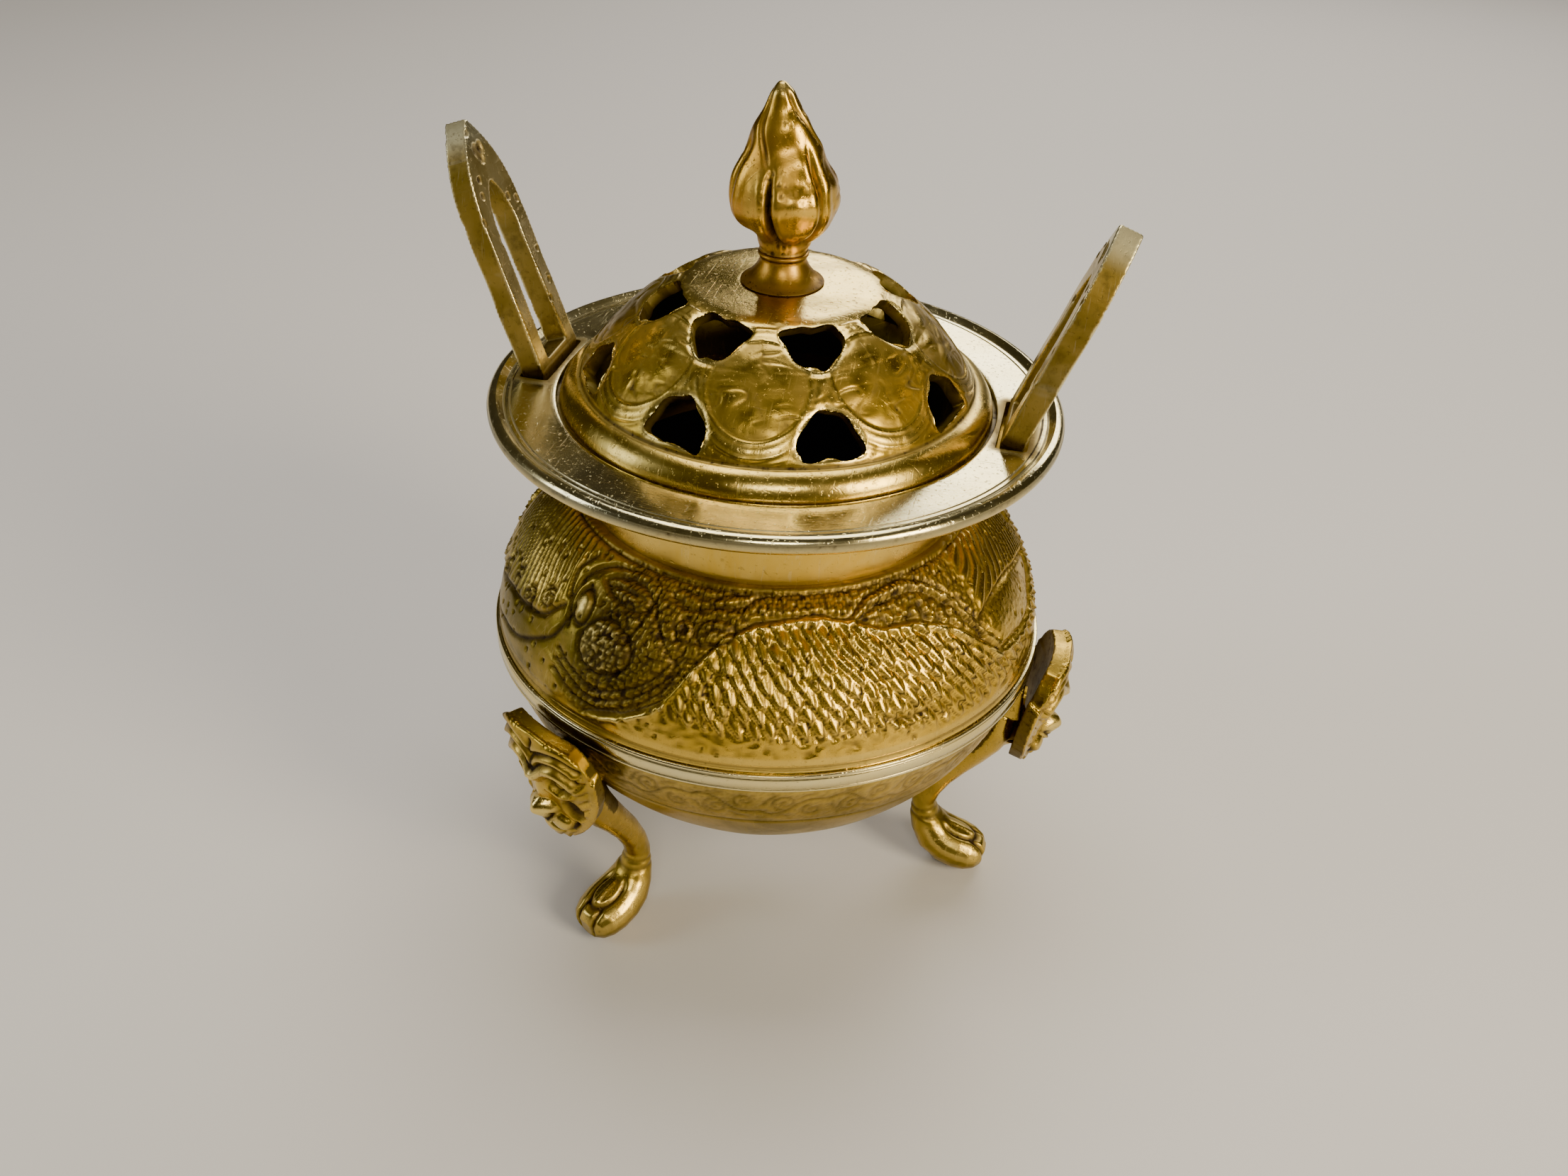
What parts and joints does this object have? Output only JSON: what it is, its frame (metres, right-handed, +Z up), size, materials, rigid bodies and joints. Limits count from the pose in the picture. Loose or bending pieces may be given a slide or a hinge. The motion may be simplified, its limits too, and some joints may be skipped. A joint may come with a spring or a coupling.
{
  "type": "standing incense censer",
  "caption": "Round-bellied brass incense censer on lion-mask legs, with a wide rim, hairpin handles and a pierced lift-off lid with a bud finial.",
  "frame": {"origin": "on the belly's axis at the level of the feet", "axes": "+Z up through the finial; +X towards the handle that stands over a leg, the right one seen from the front"},
  "size_m": [0.1133, 0.103, 0.1515],
  "materials": {
    "bowl_brass": "cast, dull, shallow engraving",
    "relief_brass": "cast relief, dark in the hollows and bright on the highs",
    "polished_brass": "polished",
    "leg_brass": "cast, satin",
    "handle_brass": "cast, satin, worn edges",
    "lid_brass": "cast, worn bright at the crown and the hole edges",
    "finial_brass": "polished, dark in the grooves",
    "fixing_brass": "turned, dull"
  },
  "bodies": {
    "vessel": {"vessel_lower": "bowl_brass", "vessel_shoulder": "relief_brass", "neck_rim": "polished_brass", "belly_band": "polished_brass", "leg_right": "leg_brass", "leg_rear": "leg_brass", "leg_left": "leg_brass", "leg_washer_right": "fixing_brass", "leg_washer_rear": "fixing_brass", "leg_washer_left": "fixing_brass", "leg_screw_right": "fixing_brass", "leg_screw_rear": "fixing_brass", "leg_screw_left": "fixing_brass", "handle_right": "handle_brass", "handle_left": "handle_brass", "handle_anchor_right": "fixing_brass", "handle_anchor_left": "fixing_brass"},
    "lid": {"lid_dome": "lid_brass", "finial_collar": "finial_brass", "finial_bud": "finial_brass", "finial_stud": "fixing_brass", "finial_washer": "fixing_brass", "finial_nut": "fixing_brass"}
  },
  "joints": [
    {"name": "lid_lift", "type": "slide", "parent": "vessel", "child": "lid", "axis": [0, 0, 1], "range_m": [0, 0.06]}
  ]
}
